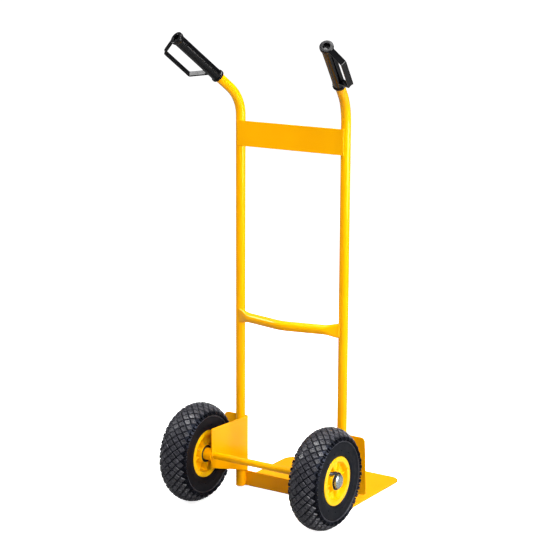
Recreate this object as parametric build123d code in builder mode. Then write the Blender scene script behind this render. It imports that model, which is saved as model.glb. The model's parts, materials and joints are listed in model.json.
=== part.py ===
"""Steel hand truck with pneumatic wheels and knuckle-guard grips. Millimetres.

X runs across the truck, +Y points forward over the toe plate and +Z points up.
The floor is Z = 0, and the origin is the middle of the footprint on the floor.
Every right-hand piece is modelled at +X, and its left-hand twin is its mirror image.
"""
from build123d import *
import os
from math import cos, radians, sin

# ---- driving dimensions ----------------------------------------------------------
wheel_r = 130.0
wheel_x = 197.0
footprint_depth = 560.0
axle_y = wheel_r - footprint_depth / 2
toe_front_y = footprint_depth / 2

tube_r = 12.5
tube_wall = 1.5
upright_x = 156.0
upright_y = -5.0
foot_gap = 4.5

bend_z = 998.0
bend_r = 93.0
bend_angle = 52.0
splay_angle = 16.7
handle_run = 47.0

plate_bottom_z = 921.0
plate_height = 65.0
plate_thick = 3.0
plate_corner_r = 2.0

crossbar_z = 474.5
crossbar_peak = 46.4
crossbar_end_x = 149.5
crossbar_end_y = -17.5
crossbar_bend_r = 94.0
crossbar_flat_length = 42.0
crossbar_flat_height = 37.0
crossbar_flat_thick = 7.0
crossbar_mid_share = 0.55
crossbar_mid_thick = 18.0
crossbar_mid_height = 31.8

toe_half_width = 180.0
toe_thick = 4.0
toe_flange_height = 43.0
toe_corner_r = 32.0
toe_bend_r = 5.0
flange_corner_r = 4.0

bracket_thick = 3.0
gusset_rear = 156.0
gusset_top_front_z = 197.0
gusset_top_rear_z = 203.0
gusset_bottom_front_z = toe_flange_height + 1.0
gusset_bottom_rear_z = 98.0
guard_edge_top_x = 216.0
guard_edge_bottom_x = 222.0
guard_corner_r = 8.0
gusset_corner_r = 3.0

axle_r = 9.0
axle_seat_r = 8.5
axle_end_x = 236.0
axle_chamfer = 1.0
collar_r = 16.0
collar_step_r = 11.5
collar_step = 1.0
sleeve_r = 11.0
washer_r = 14.5
washer_thick = 2.0
seat_clearance = 0.1
cap_r = 18.0
cap_height = 10.0
cap_wall = 1.2

grip_length = 169.0
grip_r = 14.5
grip_collar_r = 17.2
grip_disc_r = 17.0
guard_roll = 53.0
guard_reach = 53.0
strap_width = 15.7
strap_thick = 4.0
guard_top_s = 148.0
guard_low_s = 51.0
guard_root_s = 27.5
guard_bend_r = 6.0
end_hole_r = 8.0

rim_half = 34.5
rim_flange_r = 62.0
bead_seat_r = 50.5
bead_x = 31.0
boss_r = 24.0
boss_half = 32.0
boss_bore_r = 16.5
barrel_r = 47.5
well_r = 45.0
well_inner_r = 41.5
well_half = 17.0
seat_inner_half = 21.0
web_x = 5.0
web_thick = 4.0
rib_thick = 3.5
rib_count = 8
rib_start_angle = 12.0
valve_angle = 128.0
valve_x = 13.0
valve_hole_r = 4.2

tyre_half_width = 41.0
bead_top_r = 62.3
cavity_r = 88.5
cavity_half_width = 32.5
cavity_half_height = 31.0
tube_gap = 0.3
inner_tube_wall = 1.5

stem_r = 4.0
stem_bend_r = 6.0
stem_top_r = 57.5
stem_low_r = 36.0
stem_tip_x = 26.0
stem_base_r = 6.0
stem_base_height = 5.0

bearing_r = 20.0
bearing_width = 12.0
bearing_offset = 25.0
ball_r = 3.3
ball_pitch_r = 14.35
ball_count = 8
race_gap_r = 12.0
outer_race_r = 16.7
seal_x = 5.1
seal_thick = 1.0

# ---- places worked out from them ---------------------------------------------------
tube_front_y = upright_y + tube_r
tube_back_y = upright_y - tube_r
tube_inner_x = upright_x - tube_r
gusset_inner_x = tube_inner_x - bracket_thick

world_up = Vector(0, 0, 1)
bend_out = Vector(sin(radians(splay_angle)), -cos(radians(splay_angle)), 0)
handle_dir = bend_out * sin(radians(bend_angle)) + world_up * cos(radians(bend_angle))
bend_start = Vector(upright_x, upright_y, bend_z)
bend_end = bend_start + bend_out * bend_r * (1 - cos(radians(bend_angle)))
bend_end = bend_end + world_up * bend_r * sin(radians(bend_angle))
grip_start = bend_end + handle_dir * handle_run

# the guard hangs below the handle and is rolled outboard about the handle's own axis
handle_under = bend_out * cos(radians(bend_angle)) - world_up * sin(radians(bend_angle))
handle_side = handle_dir.cross(handle_under)
guard_dir = handle_under * cos(radians(guard_roll)) + handle_side * sin(radians(guard_roll))

bend_plane = Plane(origin=bend_start, x_dir=bend_out, z_dir=bend_out.cross(world_up))
grip_plane = Plane(origin=grip_start, x_dir=guard_dir, z_dir=guard_dir.cross(handle_dir))
grip_axis = Axis(grip_start, handle_dir)

wheel_centre = Vector(wheel_x, axle_y, wheel_r)
wheel_plane = Plane(origin=wheel_centre, x_dir=(1, 0, 0), z_dir=(0, -1, 0))
wheel_axis = Axis(wheel_centre, (1, 0, 0))
axle_line = Vector(0, axle_y, wheel_r)
axle_plane = Plane(origin=axle_line, x_dir=(1, 0, 0), z_dir=(0, -1, 0))
axle_axis = Axis(axle_line, (1, 0, 0))

os.makedirs("parts", exist_ok=True)


def save(piece, name):
    """Label one finished piece and write its STEP file."""
    piece.part.label = name
    export_step(piece.part, f"parts/{name}.step")


def save_pair(piece, name):
    """Write a right-hand piece and its mirror image on the left."""
    save(piece, f"right_{name}")
    with BuildPart() as twin:
        mirror(piece.part, about=Plane.YZ)
    save(twin, f"left_{name}")


# ---- uprights: one tube each from the foot to the hand, bent back and outwards --------
tube_end = grip_length - 11.0
with BuildPart() as upright:
    with BuildLine(bend_plane) as upright_path:
        stem = Line((0, foot_gap - bend_z), (0, 0))
        elbow = JernArc(start=stem @ 1, tangent=stem % 1, radius=bend_r, arc_size=-bend_angle)
        Line(elbow @ 1, elbow @ 1 + (elbow % 1) * (handle_run + tube_end))
    with BuildSketch(Plane(origin=(upright_x, upright_y, foot_gap), z_dir=(0, 0, 1))):
        Circle(tube_r)
        Circle(tube_r - tube_wall, mode=Mode.SUBTRACT)
    sweep()
save_pair(upright, "upright")

# ---- cross plate: a flat bar welded across the backs of both tubes ---------------------
with BuildPart() as cross_plate:
    with BuildSketch(Plane.XZ.offset(-tube_back_y)):
        with Locations((0, plate_bottom_z + plate_height / 2)):
            RectangleRounded(2 * upright_x, plate_height, plate_corner_r)
    extrude(amount=plate_thick)
save(cross_plate, "cross_plate")

# ---- middle crossbar: a bowed tube, its pressed ends coped over the uprights' backs -------
def bar_sections(inset):
    """Sections of one bar end, from the round tube out to the pressed end."""
    neck = (tube_r - inset, tube_r - inset)
    middle = (crossbar_mid_thick / 2 - inset, crossbar_mid_height / 2 - inset)
    end = (crossbar_flat_thick / 2 - inset, crossbar_flat_height / 2 - inset)
    return [(0.0, neck), (crossbar_mid_share, middle), (1.0, end)]


bar_end = Vector(crossbar_end_x, crossbar_end_y, crossbar_z)
bar_apex = Vector(0, upright_y - crossbar_peak, crossbar_z)
bar_dir = (bar_end - bar_apex).normalized()
bar_neck = bar_end - bar_dir * crossbar_flat_length
with BuildPart() as middle_crossbar:
    with BuildLine() as bar_path:
        FilletPolyline(
            Vector(-bar_neck.X, bar_neck.Y, bar_neck.Z), bar_apex, bar_neck, radius=crossbar_bend_r
        )
    with BuildSketch(Plane(origin=bar_path.line @ 0, z_dir=bar_path.line % 0)):
        Circle(tube_r)
        Circle(tube_r - tube_wall, mode=Mode.SUBTRACT)
    sweep(path=bar_path.line)
    for inset, mode in ((0.0, Mode.ADD), (tube_wall, Mode.SUBTRACT)):
        for share, radii in bar_sections(inset):
            place = bar_neck + bar_dir * crossbar_flat_length * share
            with BuildSketch(Plane(origin=place, x_dir=world_up.cross(bar_dir), z_dir=bar_dir)):
                Ellipse(*radii)
        loft(mode=mode)
    split(bisect_by=Plane.YZ, keep=Keep.TOP)
    with Locations((upright_x, upright_y, crossbar_z)):
        Cylinder(tube_r, 2 * crossbar_flat_height, mode=Mode.SUBTRACT)
    mirror(about=Plane.YZ)
save(middle_crossbar, "middle_crossbar")

# ---- toe plate: one sheet bent into a load blade and a flange across the tubes ---------
with BuildPart() as toe_plate:
    with BuildSketch(Plane.YZ.offset(-toe_half_width)):
        with BuildLine():
            Polyline(
                (tube_front_y, 0),
                (toe_front_y, 0),
                (toe_front_y, toe_thick),
                (tube_front_y + toe_thick, toe_thick),
                (tube_front_y + toe_thick, toe_flange_height),
                (tube_front_y, toe_flange_height),
                close=True,
            )
        make_face()
    extrude(amount=2 * toe_half_width)
    lengthwise = toe_plate.edges().filter_by(Axis.X)
    heel_low = lengthwise.sort_by_distance((0, tube_front_y, 0))[0]
    heel_inner = lengthwise.sort_by_distance((0, tube_front_y + toe_thick, toe_thick))[0]
    fillet(heel_low, toe_bend_r)
    fillet(heel_inner, toe_bend_r - toe_thick)
    fillet(toe_plate.edges().filter_by(Axis.Z).group_by(Axis.Y)[-1], toe_corner_r)
    fillet(toe_plate.edges().filter_by(Axis.Y).group_by(Axis.Z)[-1], flange_corner_r)
save(toe_plate, "toe_plate")

# ---- axle brackets: a gusset inside each tube, folded out in front as a wheel guard ----
with BuildPart() as axle_bracket:
    with BuildSketch(Plane.YZ.offset(gusset_inner_x)):
        with BuildLine():
            Polyline(
                (upright_y - gusset_rear, gusset_bottom_rear_z),
                (upright_y - gusset_rear, gusset_top_rear_z),
                (tube_front_y + bracket_thick, gusset_top_front_z),
                (tube_front_y + bracket_thick, gusset_bottom_front_z),
                close=True,
            )
        make_face()
    extrude(amount=bracket_thick)
    with BuildSketch(Plane.XZ.offset(-tube_front_y - bracket_thick)):
        with BuildLine():
            Polyline(
                (gusset_inner_x, gusset_bottom_front_z),
                (guard_edge_bottom_x, gusset_bottom_front_z),
                (guard_edge_top_x, gusset_top_front_z),
                (gusset_inner_x, gusset_top_front_z),
                close=True,
            )
        make_face()
    extrude(amount=bracket_thick)
    fold_spot = (gusset_inner_x, tube_front_y + bracket_thick, wheel_r)
    fold = axle_bracket.edges().filter_by(Axis.Z).sort_by_distance(fold_spot)[0]
    fillet(fold, bracket_thick - 0.1)
    guard_corners = axle_bracket.edges().filter_by(Axis.Y).group_by(Axis.X)
    fillet(guard_corners[-1] + guard_corners[-2], guard_corner_r)
    fillet(axle_bracket.edges().filter_by(Axis.X).group_by(Axis.Y)[0], gusset_corner_r)
    with Locations(Plane(origin=(gusset_inner_x, axle_y, wheel_r), z_dir=(1, 0, 0))):
        Cylinder(axle_r, 4 * bracket_thick, mode=Mode.SUBTRACT)
save_pair(axle_bracket, "axle_bracket")

# ---- axle: one solid bar through both brackets, turned down to the bearing seats -------
seat_start_x = wheel_x - bearing_offset - bearing_width / 2
with BuildPart() as axle:
    with BuildSketch(axle_plane):
        with BuildLine():
            Polyline(
                (-axle_end_x, 0),
                (-axle_end_x, axle_seat_r),
                (-seat_start_x, axle_seat_r),
                (-seat_start_x, axle_r),
                (seat_start_x, axle_r),
                (seat_start_x, axle_seat_r),
                (axle_end_x, axle_seat_r),
                (axle_end_x, 0),
                close=True,
            )
        make_face()
    revolve(axis=axle_axis)
    chamfer(axle.edges().filter_by(GeomType.CIRCLE).group_by(Axis.X)[0], axle_chamfer)
    chamfer(axle.edges().filter_by(GeomType.CIRCLE).group_by(Axis.X)[-1], axle_chamfer)
save(axle, "axle")


def turned(points):
    """A ring turned about the axle, from its section as (distance along X, radius)."""
    with BuildPart() as ring:
        with BuildSketch(axle_plane):
            with BuildLine():
                Polyline(*points, close=True)
            make_face()
        revolve(axis=axle_axis)
    return ring


# ---- axle collars: stepped sleeves that hold each wheel off its bracket ----------------
save_pair(
    turned(
        [
            (tube_inner_x, axle_r),
            (tube_inner_x, collar_r),
            (seat_start_x - collar_step, collar_r),
            (seat_start_x - collar_step, collar_step_r),
            (seat_start_x, collar_step_r),
            (seat_start_x, axle_r),
        ]
    ),
    "axle_collar",
)

# ---- bearing sleeves: keep the two inner races of each wheel apart ---------------------
sleeve_half = bearing_offset - bearing_width / 2
save_pair(
    turned(
        [
            (wheel_x - sleeve_half, axle_seat_r + seat_clearance),
            (wheel_x - sleeve_half, sleeve_r),
            (wheel_x + sleeve_half, sleeve_r),
            (wheel_x + sleeve_half, axle_seat_r + seat_clearance),
        ]
    ),
    "bearing_sleeve",
)

# ---- washers outboard of each wheel ----------------------------------------------------
washer_x = wheel_x + bearing_offset + bearing_width / 2
save_pair(
    turned(
        [
            (washer_x, axle_seat_r + seat_clearance),
            (washer_x, washer_r),
            (washer_x + washer_thick, washer_r),
            (washer_x + washer_thick, axle_seat_r + seat_clearance),
        ]
    ),
    "axle_washer",
)

# ---- axle caps: pressed domes pushed onto the axle's ends ------------------------------
cap_x = washer_x + washer_thick
with BuildPart() as axle_cap:
    with BuildSketch(axle_plane):
        with BuildLine():
            Line((cap_x, 0), (cap_x, cap_r))
            EllipticalCenterArc((cap_x, 0), cap_height, cap_r)
            Line((cap_x + cap_height, 0), (cap_x, 0))
        make_face()
        with BuildLine():
            Line((cap_x, 0), (cap_x, cap_r - cap_wall))
            EllipticalCenterArc((cap_x, 0), cap_height - cap_wall, cap_r - cap_wall)
            Line((cap_x + cap_height - cap_wall, 0), (cap_x, 0))
        make_face(mode=Mode.SUBTRACT)
        with Locations((cap_x + cap_wall / 2, (axle_seat_r + cap_r - cap_wall / 2) / 2)):
            Rectangle(cap_wall, cap_r - cap_wall / 2 - axle_seat_r)
    revolve(axis=axle_axis)
save_pair(axle_cap, "axle_cap")

# ---- ball bearings: two in each wheel, sealed ------------------------------------------
inner_groove_r = ball_r + 0.3
outer_groove_r = ball_r + 0.05
seal_inner_r = race_gap_r + 0.5
for place, offset in (("outboard", bearing_offset), ("inboard", -bearing_offset)):
    centre = Vector(wheel_x + offset, axle_y, wheel_r)
    race_plane = Plane(origin=centre, z_dir=(1, 0, 0))
    with BuildPart(race_plane) as inner_race:
        Cylinder(race_gap_r, bearing_width)
        Cylinder(axle_seat_r, bearing_width, mode=Mode.SUBTRACT)
        Torus(ball_pitch_r, inner_groove_r, mode=Mode.SUBTRACT)
    save_pair(inner_race, f"{place}_inner_race")
    with BuildPart(race_plane) as outer_race:
        Cylinder(bearing_r, bearing_width)
        Cylinder(outer_race_r, bearing_width, mode=Mode.SUBTRACT)
        Torus(ball_pitch_r, outer_groove_r, mode=Mode.SUBTRACT)
    save_pair(outer_race, f"{place}_outer_race")
    with BuildPart(race_plane) as bearing_balls:
        with PolarLocations(ball_pitch_r, ball_count):
            Sphere(ball_r)
    save_pair(bearing_balls, f"{place}_bearing_balls")
    with BuildPart(race_plane) as bearing_seals:
        with Locations((0, 0, seal_x), (0, 0, -seal_x)):
            Cylinder(outer_race_r, seal_thick)
            Cylinder(seal_inner_r, seal_thick, mode=Mode.SUBTRACT)
    save_pair(bearing_seals, f"{place}_bearing_seals")

# ---- wheel rim: one moulding with a boss, a web, ribs and the bead seats ---------------
rib_half = boss_half - 2.0
with BuildPart() as wheel_rim:
    with BuildSketch(wheel_plane):
        with BuildLine():
            Polyline(
                (-rim_half, barrel_r),
                (-rim_half, rim_flange_r),
                (-bead_x, rim_flange_r),
                (-bead_x, bead_seat_r),
                (-seat_inner_half, bead_seat_r),
                (-well_half, well_r),
                (well_half, well_r),
                (seat_inner_half, bead_seat_r),
                (bead_x, bead_seat_r),
                (bead_x, rim_flange_r),
                (rim_half, rim_flange_r),
                (rim_half, barrel_r),
                (seat_inner_half + 1, barrel_r - 1),
                (well_half + 1, well_inner_r),
                (-well_half - 1, well_inner_r),
                (-seat_inner_half - 1, barrel_r - 1),
                close=True,
            )
        make_face()
    revolve(axis=wheel_axis)
    with BuildSketch(wheel_plane):
        with Locations((0, (boss_r + boss_bore_r) / 2)):
            Rectangle(2 * boss_half, boss_r - boss_bore_r)
        with Locations((web_x, (boss_r + well_inner_r) / 2)):
            Rectangle(web_thick, well_inner_r - boss_r + 1)
    revolve(axis=wheel_axis)
    rib_start = wheel_centre - Vector(rib_half, 0, 0)
    with BuildSketch(Plane(origin=rib_start, z_dir=(1, 0, 0))):
        with PolarLocations((boss_r + well_inner_r) / 2, rib_count, start_angle=rib_start_angle):
            Rectangle(well_inner_r - boss_r + 2, rib_thick)
    extrude(amount=2 * rib_half)
    for side in (1, -1):
        bore_x = side * (bearing_offset + bearing_width)
        with Locations(Plane(origin=wheel_centre + Vector(bore_x, 0, 0), z_dir=(1, 0, 0))):
            Cylinder(bearing_r, 3 * bearing_width, mode=Mode.SUBTRACT)
    valve_out = Vector(0, cos(radians(valve_angle)), sin(radians(valve_angle)))
    valve_seat = wheel_centre + Vector(valve_x, 0, 0) + valve_out * well_r
    with Locations(Plane(origin=valve_seat, z_dir=valve_out)):
        Cylinder(valve_hole_r, 16, mode=Mode.SUBTRACT)
save_pair(wheel_rim, "wheel_rim")

# ---- tyre: round-shouldered carcass whose beads seat on the rim -------------------------
tyre_side = [
    (bead_x, bead_top_r),
    (36, 67),
    (37.5, 80),
    (38.2, 96),
    (tyre_half_width, 106),
    (35.4, 115.4),
    (21, 125.4),
]
tyre_outline = tyre_side + [(0, wheel_r)] + [(-x, radius) for x, radius in reversed(tyre_side)]
with BuildPart() as tyre:
    with BuildSketch(wheel_plane):
        with BuildLine():
            Polyline(
                (-bead_x, bead_top_r),
                (-bead_x, bead_seat_r),
                (bead_x, bead_seat_r),
                (bead_x, bead_top_r),
            )
            Spline(*tyre_outline)
        make_face()
        with Locations((0, cavity_r)):
            Ellipse(cavity_half_width, cavity_half_height, mode=Mode.SUBTRACT)
        with Locations((0, bead_seat_r)):
            Rectangle(2 * seat_inner_half - 2, 2 * seat_inner_half - 2, mode=Mode.SUBTRACT)
    revolve(axis=wheel_axis)
save_pair(tyre, "tyre")

# ---- inner tube: a thin rubber ring that fills the tyre ---------------------------------
with BuildPart() as inner_tube:
    with BuildSketch(wheel_plane):
        with Locations((0, cavity_r)):
            for inset, mode in ((tube_gap, Mode.ADD), (tube_gap + inner_tube_wall, Mode.SUBTRACT)):
                Ellipse(cavity_half_width - inset, cavity_half_height - inset, mode=mode)
    revolve(axis=wheel_axis)
save_pair(inner_tube, "inner_tube")

# ---- valve stem: rubber, from the tube through the rim, bent towards the outside --------
valve_plane = Plane(origin=wheel_centre, x_dir=(1, 0, 0), z_dir=Vector(1, 0, 0).cross(valve_out))
with BuildPart() as valve_stem:
    with BuildLine(valve_plane) as stem_path:
        FilletPolyline(
            (valve_x, stem_top_r),
            (valve_x, stem_low_r),
            (stem_tip_x, stem_low_r),
            radius=stem_bend_r,
        )
    with BuildSketch(Plane(origin=stem_path.line @ 0, z_dir=stem_path.line % 0)):
        Circle(stem_r)
    sweep(path=stem_path.line)
    stem_base = valve_plane.from_local_coords((valve_x, well_inner_r - 1 - stem_base_height / 2))
    with Locations(Plane(origin=stem_base, z_dir=valve_out)):
        Cylinder(stem_base_r, stem_base_height)
save_pair(valve_stem, "valve_stem")

# ---- valve cap: screwed onto the stem's tip ----------------------------------------------
cap_tip_x = stem_tip_x + 7.0
with BuildPart() as valve_cap:
    with BuildSketch(valve_plane):
        with BuildLine():
            Polyline(
                (stem_tip_x, stem_low_r),
                (stem_tip_x, stem_low_r + 3.6),
                (cap_tip_x - 1, stem_low_r + 3.2),
                (cap_tip_x, stem_low_r + 2.0),
                (cap_tip_x, stem_low_r),
                close=True,
            )
        make_face()
    revolve(axis=Axis(valve_plane.from_local_coords((stem_tip_x, stem_low_r)), (1, 0, 0)))
save_pair(valve_cap, "valve_cap")

# ---- grips: a moulded sleeve with an open end disc and a D-shaped knuckle guard ----------
disc_start = grip_length - 7.0
guard_start_h = tube_r + 0.5
with BuildPart() as grip:
    with BuildSketch(grip_plane):
        with BuildLine():
            Polyline(
                (0, 0),
                (grip_collar_r - 1, 0),
                (grip_collar_r, 1.5),
                (grip_collar_r, 6),
                (grip_collar_r - 1.5, 8),
                (grip_r, 9),
                (grip_r, disc_start - 2),
                (grip_disc_r, disc_start + 1),
                (grip_disc_r, grip_length - 1.5),
                (grip_disc_r - 1.5, grip_length),
                (0, grip_length),
                close=True,
            )
        make_face()
    revolve(axis=grip_axis)
    with BuildSketch(grip_plane):
        with BuildLine():
            FilletPolyline(
                (guard_start_h, grip_length - 3),
                (guard_reach, guard_top_s),
                (guard_reach, guard_low_s),
                (guard_start_h, guard_root_s),
                radius=guard_bend_r,
            )
        trace(line_width=strap_thick)
    extrude(amount=strap_width / 2, both=True)
    with Locations(Plane(origin=grip_start + handle_dir * tube_end / 2, z_dir=handle_dir)):
        Cylinder(tube_r, tube_end, mode=Mode.SUBTRACT)
    with Locations(Plane(origin=grip_start + handle_dir * grip_length, z_dir=handle_dir)):
        Cylinder(end_hole_r, 40, mode=Mode.SUBTRACT)
save_pair(grip, "grip")
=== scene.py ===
import json
from math import atan2, cos, pi, radians, sin, tan

import bmesh
import bpy
import numpy as np
from mathutils import Matrix, Vector


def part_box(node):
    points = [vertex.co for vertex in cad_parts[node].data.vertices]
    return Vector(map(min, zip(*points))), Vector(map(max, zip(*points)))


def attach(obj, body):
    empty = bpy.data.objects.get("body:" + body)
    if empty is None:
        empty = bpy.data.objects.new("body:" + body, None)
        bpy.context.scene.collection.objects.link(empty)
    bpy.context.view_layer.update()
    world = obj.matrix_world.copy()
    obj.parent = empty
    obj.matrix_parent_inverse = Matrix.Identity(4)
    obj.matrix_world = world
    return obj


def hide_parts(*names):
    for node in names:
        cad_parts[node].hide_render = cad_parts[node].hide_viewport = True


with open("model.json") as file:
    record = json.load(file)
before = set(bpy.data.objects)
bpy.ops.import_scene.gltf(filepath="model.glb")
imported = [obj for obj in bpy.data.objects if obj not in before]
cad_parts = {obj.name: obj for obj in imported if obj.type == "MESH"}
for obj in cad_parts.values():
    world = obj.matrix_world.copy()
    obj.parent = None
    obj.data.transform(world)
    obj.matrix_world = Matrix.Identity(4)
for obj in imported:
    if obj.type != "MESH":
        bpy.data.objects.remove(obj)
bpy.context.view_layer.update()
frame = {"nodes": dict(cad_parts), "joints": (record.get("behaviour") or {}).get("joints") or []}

# ---- Camera ------------------------------------------------------------------------------
# A long lens, 4.4 m behind the truck and to its right and a little higher than its handles,
# looks down at its middle. It is rolled by a third of a degree.
azimuth, elevation, roll = radians(32.53), radians(12.51), radians(0.32)
look_at = Vector((-0.0343, -0.005, 0.5811))
look_from_distance = 4.4241
look = Vector((-sin(azimuth) * cos(elevation), cos(azimuth) * cos(elevation), -sin(elevation)))
level_right = Vector((cos(azimuth), sin(azimuth), 0))
level_up = level_right.cross(look)
camera_right = level_right * cos(roll) + level_up * sin(roll)
camera_up = level_up * cos(roll) - level_right * sin(roll)
camera_data = bpy.data.cameras.new("camera")
camera_data.sensor_width = 36.0
camera_data.lens = 110.68
camera = bpy.data.objects.new("camera", camera_data)
bpy.context.scene.collection.objects.link(camera)
camera.matrix_world = (
    Matrix.Translation(look_at - look * look_from_distance)
    @ Matrix((camera_right, camera_up, -look)).transposed().to_4x4()
)
bpy.context.scene.camera = camera
bpy.context.scene.view_settings.view_transform = "Standard"


# ---- Studio: acrylic floor, softboxes and the white room -------------------------------------
# A white acrylic floor lit from below, a tall softbox on the truck's right with a wider one that
# only shows in reflections, a small one high on its left, a large one overhead, a fill behind the
# truck on its right, and a room that is bright overhead and dim all round.
def linear(hex_colour):
    """An sRGB hex colour as linear RGBA."""
    channels = [int(hex_colour[at : at + 2], 16) / 255 for at in (1, 3, 5)]
    toned = [c / 12.92 if c <= 0.04045 else ((c + 0.055) / 1.055) ** 2.4 for c in channels]
    return (*toned, 1.0)


def add_node(tree, kind, values=None, links=None, **settings):
    """Add one node, set its properties and socket values, and link its inputs."""
    node = tree.nodes.new(kind)
    for name, value in settings.items():
        setattr(node, name, value)
    for socket, value in (values or {}).items():
        node.inputs[socket].default_value = value
    for socket, source in (links or {}).items():
        tree.links.new(source, node.inputs[socket])
    return node


def softbox(name, place, aim, width, height, power):
    """A rectangular area light at a place, turned to face a point."""
    light = bpy.data.lights.new(name, "AREA")
    light.shape = "RECTANGLE"
    light.size, light.size_y = width, height
    light.energy = power
    lamp = bpy.data.objects.new(name, light)
    lamp.location = place
    lamp.rotation_euler = (Vector(aim) - Vector(place)).to_track_quat("-Z", "Y").to_euler()
    bpy.context.scene.collection.objects.link(lamp)
    return lamp


softbox("side_softbox", (2.35, 0.3, 1.45), (0, -0.05, 0.75), 0.5, 2.1, 72)
side_sheen = softbox("side_sheen", (2.3, -0.28, 1.35), (0, -0.05, 0.85), 0.75, 2.0, 74)
side_sheen.visible_diffuse = False
softbox("high_left_softbox", (-2.2, -0.75, 2.1), (0, -0.1, 0.2), 0.45, 0.45, 26)
softbox("overhead_softbox", (0.1, -0.1, 3.2), (0, 0, 0.3), 1.5, 1.5, 84)
rear_fill = softbox("rear_fill", (2.7, -2.5, 2.0), (0, 0, 1.05), 1.6, 1.6, 13.5)
rear_fill.data.spread = radians(52)
rear_fill.visible_glossy = False

room = bpy.data.worlds.new("white_room")
room.use_nodes = True
room_tree = room.node_tree
room_tree.nodes.clear()
room_direction = add_node(room_tree, "ShaderNodeTexCoord").outputs["Generated"]
room_height = add_node(room_tree, "ShaderNodeSeparateXYZ", links={0: room_direction})
room_strength = add_node(
    room_tree,
    "ShaderNodeMapRange",
    interpolation_type="SMOOTHSTEP",
    values={"From Min": 0.3, "From Max": 0.75, "To Min": 0.10, "To Max": 0.6},
    links={"Value": room_height.outputs["Z"]},
)
room_seen = add_node(room_tree, "ShaderNodeLightPath").outputs["Is Camera Ray"]
room_level = add_node(
    room_tree,
    "ShaderNodeMix",
    values={"B": 1.0},
    links={"Factor": room_seen, "A": room_strength.outputs["Result"]},
)
room_light = add_node(
    room_tree, "ShaderNodeBackground", links={"Strength": room_level.outputs["Result"]}
)
add_node(room_tree, "ShaderNodeOutputWorld", links={"Surface": room_light.outputs["Background"]})
bpy.context.scene.world = room


def material_of(name):
    """A new material with a Principled shader, and the parts that a recipe works on."""
    material = bpy.data.materials.new(name)
    material.use_nodes = True
    tree = material.node_tree
    shader = tree.nodes["Principled BSDF"]
    place = add_node(tree, "ShaderNodeTexCoord").outputs["Object"]
    return material, tree, shader, place


# Opal acrylic sheet, lit evenly from below: matt white, with a faint unevenness in its tone. It
# glows for the camera, and throws back less light than it seems to, as a masked floor does.
acrylic, tree, shader, place = material_of("opal_acrylic_sheet")
mottle = add_node(tree, "ShaderNodeTexNoise", {"Scale": 1.3, "Detail": 3.0}, {"Vector": place})
tone = add_node(
    tree,
    "ShaderNodeMix",
    {6: linear("#F7F7F7"), 7: linear("#FBFBFB")},
    {"Factor": mottle.outputs["Fac"]},
    data_type="RGBA",
)
tree.links.new(tone.outputs[2], shader.inputs["Base Color"])
shader.inputs["Roughness"].default_value = 0.9
shader.inputs["Specular IOR Level"].default_value = 0.1
shader.inputs["Emission Color"].default_value = linear("#FFFFFF")
shader.inputs["Emission Strength"].default_value = 0.75
dim_sheet = add_node(tree, "ShaderNodeBsdfDiffuse", {"Color": linear("#9A9A9A")})
seen = add_node(tree, "ShaderNodeLightPath").outputs["Is Camera Ray"]
sheet = add_node(
    tree, "ShaderNodeMixShader", links={0: seen, 1: dim_sheet.outputs[0], 2: shader.outputs[0]}
)
tree.links.new(sheet.outputs[0], tree.nodes["Material Output"].inputs["Surface"])

floor_mesh = bpy.data.meshes.new("acrylic_floor")
floor_size = 70.0
floor_mesh.from_pydata(
    [(x * floor_size, y * floor_size, -0.0004) for x, y in ((-1, -1), (1, -1), (1, 1), (-1, 1))],
    [],
    [(0, 1, 2, 3)],
)
floor_mesh.materials.append(acrylic)
floor = bpy.data.objects.new("acrylic_floor", floor_mesh)
bpy.context.scene.collection.objects.link(floor)


# ---- Uprights --------------------------------------------------------------------------------
# Two steel tubes, 25 mm across with a 1.5 mm wall, drawn, cut and bent on a mandrel: straight
# up from the toe plate, then back and outwards into the handles. Powder coated after welding.
def noise(tree, place, size, detail=2.0, **values):
    """Noise whose features are about this many metres across."""
    return add_node(
        tree,
        "ShaderNodeTexNoise",
        {"Scale": 1.0 / size, "Detail": detail, **values},
        {"Vector": place},
    ).outputs["Fac"]


def spread(tree, source, low, high, start=0.3, end=0.7):
    """Noise between start and end, spread over low to high."""
    return add_node(
        tree,
        "ShaderNodeMapRange",
        {"From Min": start, "From Max": end, "To Min": low, "To Max": high},
        {"Value": source},
    ).outputs["Result"]


def two_tones(tree, share, first, second):
    """A colour that moves from the first hex colour to the second with share."""
    return add_node(
        tree,
        "ShaderNodeMix",
        {6: linear(first), 7: linear(second)},
        {"Factor": share},
        data_type="RGBA",
    ).outputs[2]


def raised(tree, shader, height, depth):
    """Bump from a height that runs from 0 to 1, in metres of depth, under any earlier bump."""
    links = {"Height": height}
    if shader.inputs["Normal"].is_linked:
        links["Normal"] = shader.inputs["Normal"].links[0].from_socket
    bump = add_node(tree, "ShaderNodeBump", {"Distance": depth, "Strength": 1.0}, links)
    tree.links.new(bump.outputs["Normal"], shader.inputs["Normal"])


def finished(name, tones, patches, gloss, gloss_noise, bumps, **constants):
    """A material of two tones in patches, uneven gloss and bumps as (size, detail, depth)."""
    material, tree, shader, place = material_of(name)
    share = spread(tree, noise(tree, place, **patches), 0, 1)
    tree.links.new(two_tones(tree, share, *tones), shader.inputs["Base Color"])
    roughness = spread(tree, noise(tree, place, *gloss_noise), *gloss)
    tree.links.new(roughness, shader.inputs["Roughness"])
    for size, detail, depth in bumps:
        raised(tree, shader, noise(tree, place, size, detail), depth)
    for socket, value in constants.items():
        shader.inputs[socket.replace("_", " ")].default_value = value
    return material


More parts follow.
